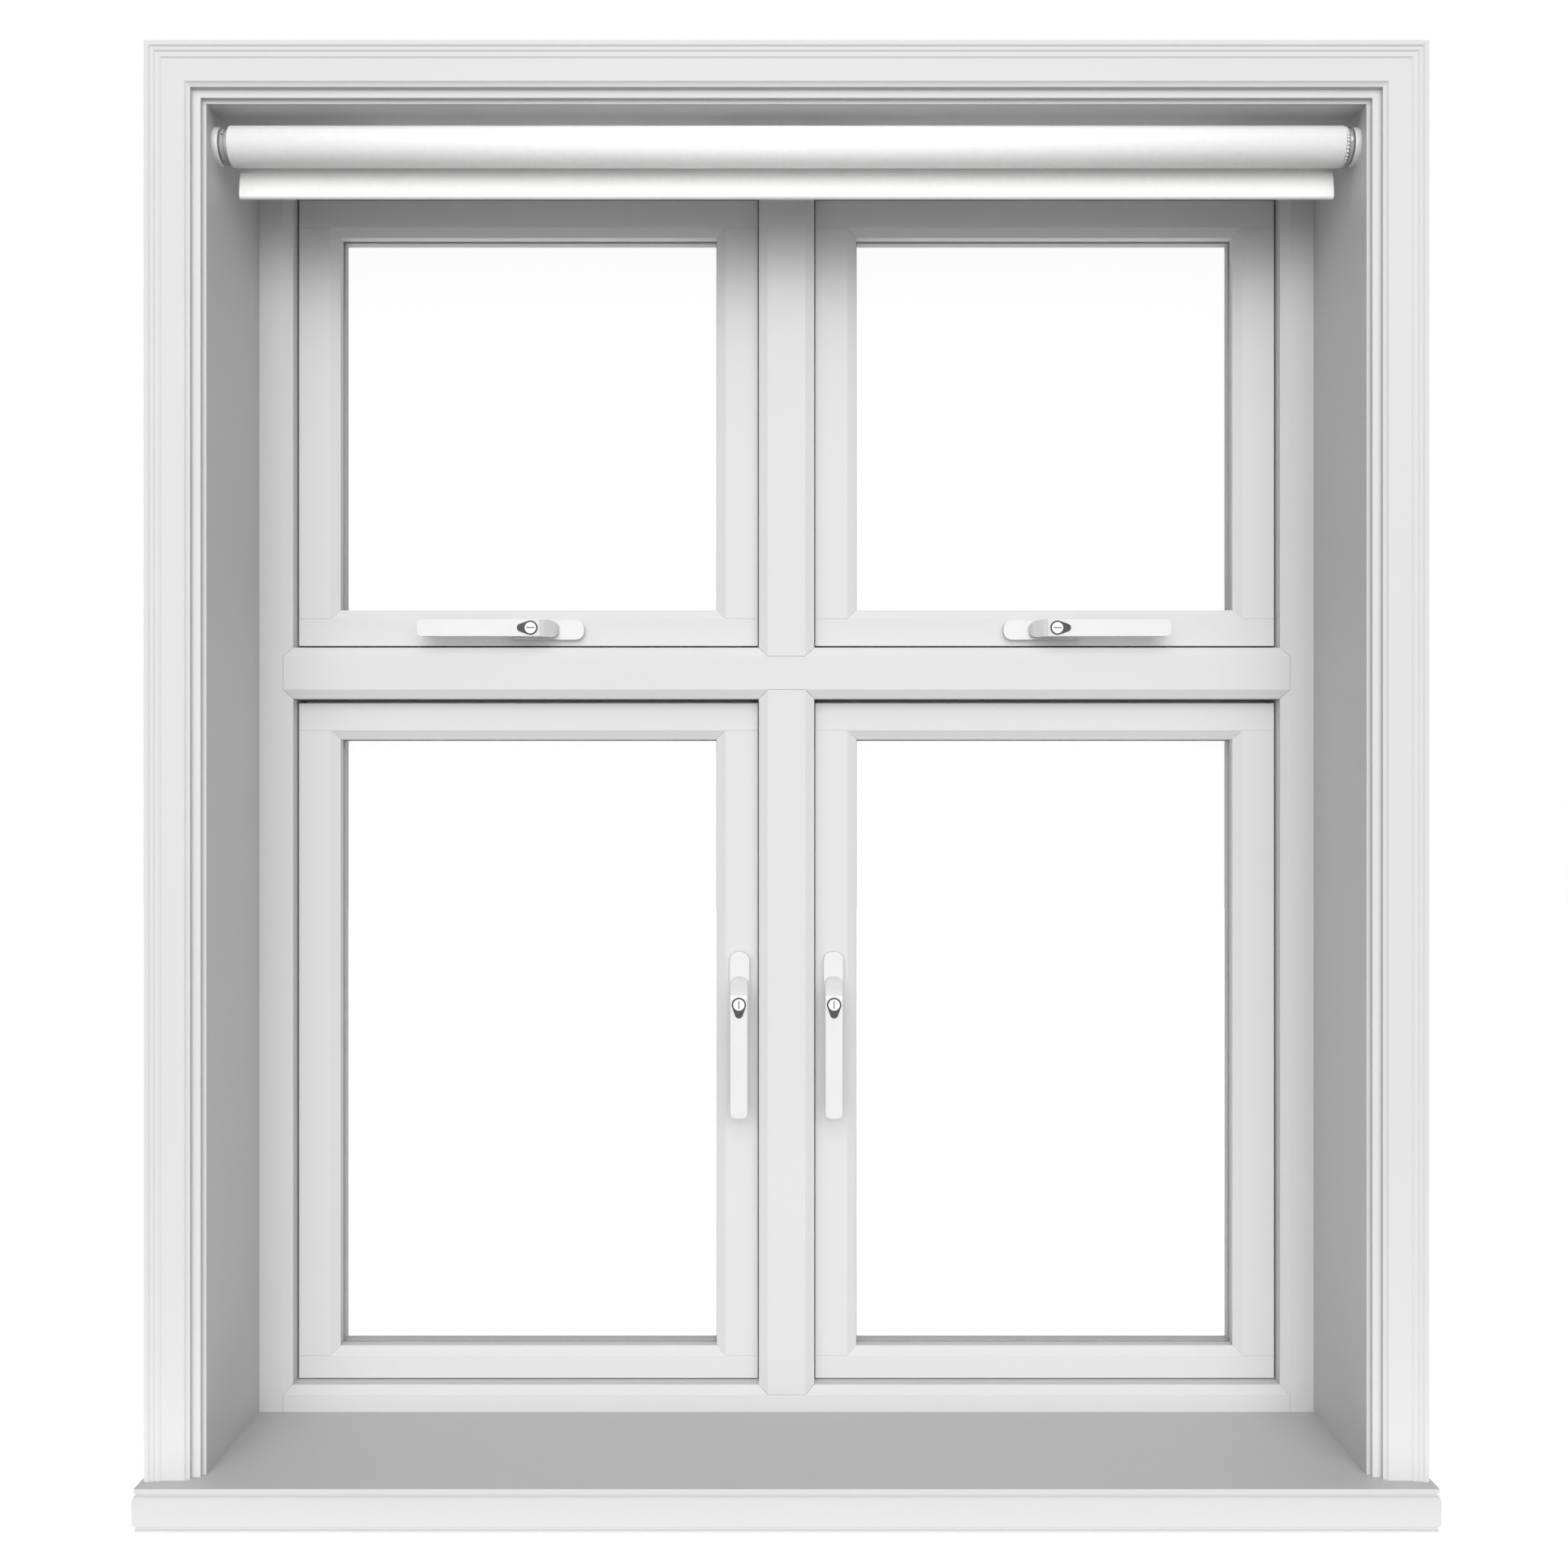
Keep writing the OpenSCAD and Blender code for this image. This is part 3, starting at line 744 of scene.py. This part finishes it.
@dataclass
class GlazedSash:
    """One sash with its glass unit, hinges, handle and lock."""

    place: SashPlace
    sash_edge: float = 0.75 * MM
    bead_edge: float = 0.4 * MM
    steel_edge: float = 0.3 * MM
    plate_edge: float = 1.6 * MM
    lever_edge: float = 1.4 * MM
    barrel_edge: float = 0.25 * MM
    pane_t: float = 4 * MM
    spacer_t: float = 8.6 * MM
    surround_r: float = 7.5 * MM
    surround_tip: float = 14.0 * MM
    surround_tip_r: float = 4.2 * MM
    surround_bore: float = 5.86 * MM
    surround_proud: float = 0.35 * MM
    surround_sunk: float = 0.2 * MM
    keyway_l: float = 8.2 * MM
    keyway_w: float = 1.3 * MM
    keyway_t: float = 0.15 * MM
    keyway_step: tuple[float, float] = (-0.15, 0.3)
    keyway_depth: float = 0.25 * MM

    def build(self, shared: dict[str, bpy.types.Material]) -> None:
        """Dresses the sash's nodes and adds its own pieces.

        Args:
            shared: Materials that all sashes use, by the piece's kind.
        """
        end = self.place.value
        dress(f"sash_{end}", shared["sash"], self.sash_edge)
        dress(f"glazing_beads_{end}", shared["sash"], self.bead_edge)
        dress(f"glass_panes_{end}", shared["glass"])
        dress(f"hinge_leaves_{end}", shared["steel"], self.steel_edge)
        dress(f"handle_plate_{end}", shared["coat"], self.plate_edge)
        dress(f"lever_{end}", shared["coat"], self.lever_edge)
        dress(f"lock_barrel_{end}", shared["barrel"], self.barrel_edge)
        dress(f"espag_bar_{end}", shared["steel"], self.steel_edge)
        self.spacer(shared["spacer"])
        self.lock_surround(shared["surround_and_hole_shade"])
        # The keyway is a black sheet that paints the shade inside the key slot.
        self.painted_keyway_shade(shared["rubber_and_keyway_shade"])

    def spacer(self, material: bpy.types.Material) -> None:
        """The bar around the cavity between the two panes.

        Args:
            material: The bar's metal.
        """
        end = self.place.value
        low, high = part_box(f"glass_panes_{end}")
        near, far = low[1] + self.pane_t, high[1] - self.pane_t
        t = self.spacer_t
        shape = bmesh.new()
        add_box(shape, (low[0], near, low[2]), (high[0], far, low[2] + t))
        add_box(shape, (low[0], near, high[2] - t), (high[0], far, high[2]))
        add_box(shape, (low[0], near, low[2] + t), (low[0] + t, far, high[2] - t))
        add_box(shape, (high[0] - t, near, low[2] + t), (high[0], far, high[2] - t))
        piece = mesh_object(f"spacer_bar_{end}", shape, material, smooth=False)
        attach(piece, f"sash_{end}")

    def barrel_place(self) -> tuple[float, float, float, float]:
        """Middle and front of the lock barrel, and the direction of the grip in X and Z.

        Returns:
            X, the front's Y, Z, and the angle of the grip from +X.
        """
        low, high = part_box(f"lock_barrel_{self.place.value}")
        angle = -math.pi / 2
        if self.place.upper:
            angle = 0.0 if self.place.side > 0 else math.pi
        return (low[0] + high[0]) / 2, low[1], (low[2] + high[2]) / 2, angle

    def lock_surround(self, material: bpy.types.Material) -> None:
        """The dark teardrop plate around the barrel, on the lever's front.

        Args:
            material: The plate's finish.
        """
        end = self.place.value
        x, _, z, angle = self.barrel_place()
        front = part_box(f"lever_{end}")[0][1]
        tip = self.surround_tip - self.surround_tip_r
        lean = math.acos((self.surround_r - self.surround_tip_r) / tip)
        outer = ring(self.surround_r, 40, lean, 2 * math.pi - 2 * lean)
        outer += [(tip + px, py) for px, py in ring(self.surround_tip_r, 20, -lean, 2 * lean)]
        plane = upright(x, front + self.surround_sunk, z) @ Matrix.Rotation(angle, 4, "Z")
        shape = bmesh.new()
        add_washer(shape, outer, self.surround_bore, plane, self.surround_proud + self.surround_sunk)
        piece = mesh_object(f"lock_surround_{end}", shape, material)
        attach(piece, f"lever_{end}")

    def painted_keyway_shade(self, material: bpy.types.Material) -> None:
        """A black sheet in the key slot, which paints the slot's shade, with the step of its profile.

        Args:
            material: The black that paints the slot's shade.
        """
        end = self.place.value
        x, front, z, angle = self.barrel_place()
        half, w = self.keyway_l / 2, self.keyway_w / 2
        start, finish = (share * half for share in self.keyway_step)
        outline = [(-half, -w), (start, -w), (0.0, -2 * w), (finish, -w), (half, -w),
                   (half, w), (finish, w), (0.0, 0.2 * w), (start, w), (-half, w)]
        shape = bmesh.new()
        plane = upright(x, front + self.keyway_depth, z) @ Matrix.Rotation(angle, 4, "Z")
        add_prism(shape, outline, plane, self.keyway_t)
        piece = mesh_object(f"keyway_{end}", shape, material, smooth=False)
        attach(piece, f"barrel_{end}")


@dataclass
class Ironmongery:
    """Keeps, hinge leaves and pins on the frame, and the screws of all hinge leaves."""

    leaf_edge: float = 0.3 * MM
    pin_edge: float = 0.4 * MM
    pin_r: float = 2.5 * MM
    leaf_back: float = 3 * MM
    hinge_half: float = 32 * MM
    leaf_w: float = 24 * MM
    knuckle_r: float = 4.5 * MM
    screw_from_pin: float = 0.62
    screw_off: float = 20 * MM
    screw_and_hole_shade_r: float = 3.2 * MM
    screw_h: float = 0.5 * MM
    screw_and_hole_shade_sunk: float = 0.1 * MM
    cross_w: float = 0.8 * MM
    cross_sunk: float = 0.3 * MM
    cross_proud: float = 0.05 * MM

    def build(self, steel: bpy.types.Material) -> None:
        """Dresses the frame's ironmongery and adds screw heads.

        Args:
            steel: Material of the leaves and screws.
        """
        for name in ("hinge_frame_leaves", "lock_keeps"):
            dress(name, steel, self.leaf_edge)
        dress("hinge_pins", steel, self.pin_edge)
        for place in SashPlace:
            self.screws(place, steel)

    def screws(self, place: SashPlace, steel: bpy.types.Material) -> None:
        """Screw heads on one sash's leaves and on the frame's leaves beside them.

        Args:
            place: The sash.
            steel: Material of the screws.
        """
        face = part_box("hinge_pins")[0][1] + self.pin_r - self.leaf_back
        for kind, body in (("sash", f"sash_{place.value}"), ("frame", "frame")):
            shape = bmesh.new()
            for x, z in self.screw_spots(place, kind == "sash"):
                self.add_screw(shape, x, face, z)
            piece = mesh_object(f"{kind}_hinge_screws_{place.value}", shape, steel)
            attach(piece, body)

    def screw_spots(self, place: SashPlace, on_sash: bool) -> list[tuple[float, float]]:
        """Middles of the screws on one side of a sash's two pins.

        Args:
            place: The sash.
            on_sash: Whether they are on the sash's leaves, and not on the frame's.

        Returns:
            X and Z of each screw.
        """
        low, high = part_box(f"hinge_leaves_{place.value}")
        reach = self.leaf_w * self.screw_from_pin * (-1 if on_sash else 1)
        along = 0 if place.upper else 2
        middles = (low[along] + self.hinge_half, high[along] - self.hinge_half)
        spots = [middle + off for middle in middles for off in (-self.screw_off, self.screw_off)]
        if place.upper:
            return [(spot, high[2] - self.knuckle_r + reach) for spot in spots]
        side = place.side
        pin = (high[0] if side > 0 else low[0]) - side * self.knuckle_r
        return [(pin + side * reach, spot) for spot in spots]

    def add_screw(self, shape: bmesh.types.BMesh, x: float, y: float, z: float) -> None:
        """Adds a flat head with a raised cross, facing outside.

        Args:
            shape: Mesh to add to.
            x: Middle across.
            y: The leaf's outside face.
            z: Middle in height.
        """
        plane = Matrix(((-1, 0, 0, x), (0, 0, 1, y - self.screw_and_hole_shade_sunk), (0, 1, 0, z), (0, 0, 0, 1)))
        add_prism(shape, ring(self.screw_and_hole_shade_r, 24), plane, self.screw_h)
        arm, w = self.screw_and_hole_shade_r * 0.6, self.cross_w / 2
        cross = [(-w, -arm), (w, -arm), (w, -w), (arm, -w), (arm, w), (w, w),
                 (w, arm), (-w, arm), (-w, w), (-arm, w), (-arm, -w), (-w, -w)]
        raised = plane @ Matrix.Translation((0, 0, self.screw_h - self.cross_sunk))
        add_prism(shape, cross, raised, self.cross_sunk + self.cross_proud)


@dataclass
class RollerBlind:
    """The roller blind: hubs, brackets, bead ring, wound cloth, hanging cloth and hem."""

    cloth_t: float = 0.24 * MM
    wind_pitch: float = 0.28 * MM
    hem_t: float = 6.4 * MM
    hem_side_steps: int = 14
    hem_foot_steps: int = 12
    hem_side: float = 0.9
    hem_swell: float = 1.4
    hem_flatten: float = 0.8
    steps: int = 72
    columns: int = 60
    rows: int = 40
    tuck: float = 4 * MM
    ripple: float = 0.12 * MM
    ripples: float = 23.0
    stretch_margin: float = 0.2 * MM
    bracket_edge: float = 0.8 * MM
    hub_edge: float = 0.4 * MM
    # Size and place of the small dark disc that paints the shade of a hole in the idle hub's rim.
    screw_and_hole_shade_r: float = 0.9 * MM
    hole_shade_l: float = 1.0 * MM
    screw_and_hole_shade_sunk: float = 0.8 * MM
    hole_shade_from_roll: float = 5.6 * MM
    hole_shade_lean: float = math.radians(23)
    guide_r: float = 3.2 * MM
    guide_t: float = 2.4 * MM
    guide_from_roll: float = 3.9 * MM
    guide_front: float = 15.5 * MM
    guide_up: float = 1 * MM

    def build(self, looks: Finishes) -> None:
        """Dresses the blind's nodes and makes its cloth.

        Args:
            looks: The finishes.
        """
        white, painted_hub_shade, tube = looks.plastic.material(), looks.painted_hub_shade.material(), looks.tube.material()
        cloth = looks.cloth.material()
        dress("blind_bracket_left", white, self.bracket_edge)
        dress("blind_bracket_right", white, self.bracket_edge)
        dress("chain_beads", white)
        # Both hubs take the grey that paints their shade.
        dress("idle_plug", painted_hub_shade, self.hub_edge)
        dress("chain_wheel", painted_hub_shade, self.hub_edge)
        dress("blind_tube", tube)
        wound, length = self.wound_cloth(looks.coating.material())
        drop, drop_length = self.hanging_cloth(cloth)
        hem = self.hem_pocket(cloth)
        self.chain_guide(white)
        # The dark disc paints the shade of a hole in the idle hub.
        self.hub_hole_shade(looks.surround_and_hole_shade.material())
        LOG.info("blind: %.3f m wound, %.3f m hanging", length, drop_length)

    def axis(self) -> tuple[float, float, float, float]:
        """The roll's place and size.

        Returns:
            Its axis in Y and Z, its radius and half of its length.
        """
        low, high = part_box("cloth_roll")
        return (low[1] + high[1]) / 2, (low[2] + high[2]) / 2, (high[2] - low[2]) / 2, high[0]

    def wound_cloth(self, material: bpy.types.Material) -> tuple[bpy.types.Object, float]:
        """The cloth wound on the tube, as one spiral sheet whose free end meets the hanging cloth.

        Args:
            material: The cloth.

        Returns:
            The sheet and its length along the spiral.
        """
        axis_y, axis_z, outer, half = self.axis()
        tube_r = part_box("blind_tube")[1][2] - axis_z
        outer -= self.cloth_t / 2
        turns = (outer - tube_r - self.cloth_t) / self.wind_pitch
        count = int(turns * self.steps)
        shape = bmesh.new()
        rows = []
        length = 0.0
        previous = None
        for i in range(count + 1):
            angle = -2 * math.pi * i / self.steps
            radius = outer - self.wind_pitch * i / self.steps
            spot = (axis_y + radius * math.cos(angle), axis_z + radius * math.sin(-angle))
            rows.append([shape.verts.new((x, *spot)) for x in (-half, half)])
            if previous:
                length += math.dist(previous, spot)
            previous = spot
        add_strip(shape, rows)
        piece = mesh_object("wound_cloth", shape, material)
        self.thicken(piece)
        attach(piece, "blind_roll")
        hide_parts("cloth_roll")
        return piece, length

    def thicken(self, piece: bpy.types.Object) -> None:
        """Gives a sheet its thickness by a modifier.

        Args:
            piece: The sheet.
        """
        solid = piece.modifiers.new("thickness", "SOLIDIFY")
        solid.thickness = self.cloth_t
        solid.offset = 0

    def hanging_cloth(self, material: bpy.types.Material) -> tuple[bpy.types.Object, float]:
        """The cloth between the roll's back and the hem.

        Args:
            material: The cloth.

        Returns:
            The sheet and its length at rest.
        """
        low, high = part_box("cloth_drop")
        y = (low[1] + high[1]) / 2
        bottom = low[2] - self.tuck
        shape = bmesh.new()
        rows = []
        for i in range(self.rows + 1):
            z = high[2] + (bottom - high[2]) * i / self.rows
            row = []
            for k in range(self.columns + 1):
                x = low[0] + (high[0] - low[0]) * k / self.columns
                sway = self.ripple * math.sin(x * self.ripples) * i / self.rows
                row.append(shape.verts.new((x, y + sway, z)))
            rows.append(row)
        add_strip(shape, rows)
        piece = mesh_object("hanging_cloth", shape, material)
        self.thicken(piece)
        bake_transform(piece)
        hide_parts("cloth_drop")
        return piece, high[2] - bottom

    def hem_pocket(self, material: bpy.types.Material) -> bpy.types.Object:
        """The pocket that the cloth makes around the hem's flat bar, swelling forward at its foot.

        Args:
            material: The cloth.

        Returns:
            The pocket.
        """
        low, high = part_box("hem_bar")
        middle = (low[1] + high[1]) / 2
        outline = self.hem_section(middle, low[2], high[2])
        shape = bmesh.new()
        rows = []
        for k in range(self.columns + 1):
            x = low[0] + (high[0] - low[0]) * k / self.columns
            rows.append([shape.verts.new((x, y, z)) for y, z in outline])
        add_strip(shape, rows, closed=True)
        shape.faces.new(rows[0])
        shape.faces.new(reversed(rows[-1]))
        piece = mesh_object("hem_pocket", shape, material)
        attach(piece, "blind_hem")
        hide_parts("hem_bar")
        return piece

    def hem_section(self, middle: float, foot: float, top: float) -> Outline:
        """The pocket's section, which is thin at the top, swells and ends in a round foot.

        Args:
            middle: Its middle in Y.
            foot: Its lowest Z.
            top: Its highest Z.

        Returns:
            Its points in Y and Z, down the front, round the foot and up the back.
        """
        depth, count = self.hem_t / 2, self.hem_side_steps
        side = [(depth * math.sin(i / count * math.pi / 2) ** self.hem_swell,
                 top - (top - foot) * i / count * self.hem_side) for i in range(1, count)]
        foot_h = depth * self.hem_flatten
        turns = [math.pi * i / self.hem_foot_steps for i in range(self.hem_foot_steps + 1)]
        outline = [(middle, top)]
        outline += [(middle - swell, z) for swell, z in side]
        outline += [(middle - depth * math.cos(a), foot + foot_h - foot_h * math.sin(a)) for a in turns]
        outline += [(middle + swell, z) for swell, z in reversed(side)]
        return outline

    def hub_hole_shade(self, material: bpy.types.Material) -> None:
        """A small dark disc in the rim of the idle end's hub, which paints the shade of a hole.

        Args:
            material: The dark finish that paints the hole's shade.
        """
        axis_y, axis_z, _, half = self.axis()
        low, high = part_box("idle_plug")
        radius = (high[2] - low[2]) / 2
        out = Vector((0, -math.cos(self.hole_shade_lean), math.sin(self.hole_shade_lean)))
        across = Vector((0, -math.sin(self.hole_shade_lean), -math.cos(self.hole_shade_lean)))
        foot = Vector((-half - self.hole_shade_from_roll, axis_y, axis_z)) + out * (radius - self.screw_and_hole_shade_sunk)
        turned = Matrix((Vector((1, 0, 0)), across, out)).transposed().to_4x4()
        shape = bmesh.new()
        add_prism(shape, ring(self.screw_and_hole_shade_r, 20), Matrix.Translation(foot) @ turned, self.hole_shade_l)
        attach(mesh_object("hub_hole_shade", shape, material), "blind_roll")

    def chain_guide(self, material: bpy.types.Material) -> None:
        """The small round chain guide beside the bead ring.

        Args:
            material: The white plastic.
        """
        axis_y, axis_z, _, half = self.axis()
        place = (half + self.guide_from_roll, axis_y - self.guide_front, axis_z + self.guide_up)
        plane = Matrix.Translation(place) @ Matrix.Rotation(math.pi / 2, 4, "Y")
        shape = bmesh.new()
        add_prism(shape, ring(self.guide_r, 24), plane, self.guide_t)
        piece = mesh_object("chain_guide", shape, material)
        soften(piece, self.hub_edge)
        attach(piece, "blind_roll")


def main() -> None:
    """Builds the studio and every sub-assembly."""
    logging.basicConfig(level=logging.INFO)
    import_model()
    Studio().build()
    looks = Finishes()
    TimberWork().build(looks)
    shared = {
        "sash": looks.frame.material(), "glass": looks.glass.material(), "steel": looks.steel.material(),
        "coat": looks.coat.material(), "barrel": looks.barrel.material(), "spacer": looks.spacer.material(),
        "surround_and_hole_shade": looks.surround_and_hole_shade.material(), "rubber_and_keyway_shade": looks.rubber_and_keyway_shade.material(),
    }
    for place in SashPlace:
        GlazedSash(place).build(shared)
    Ironmongery().build(shared["steel"])
    RollerBlind().build(looks)


if __name__ == "__main__":
    main()
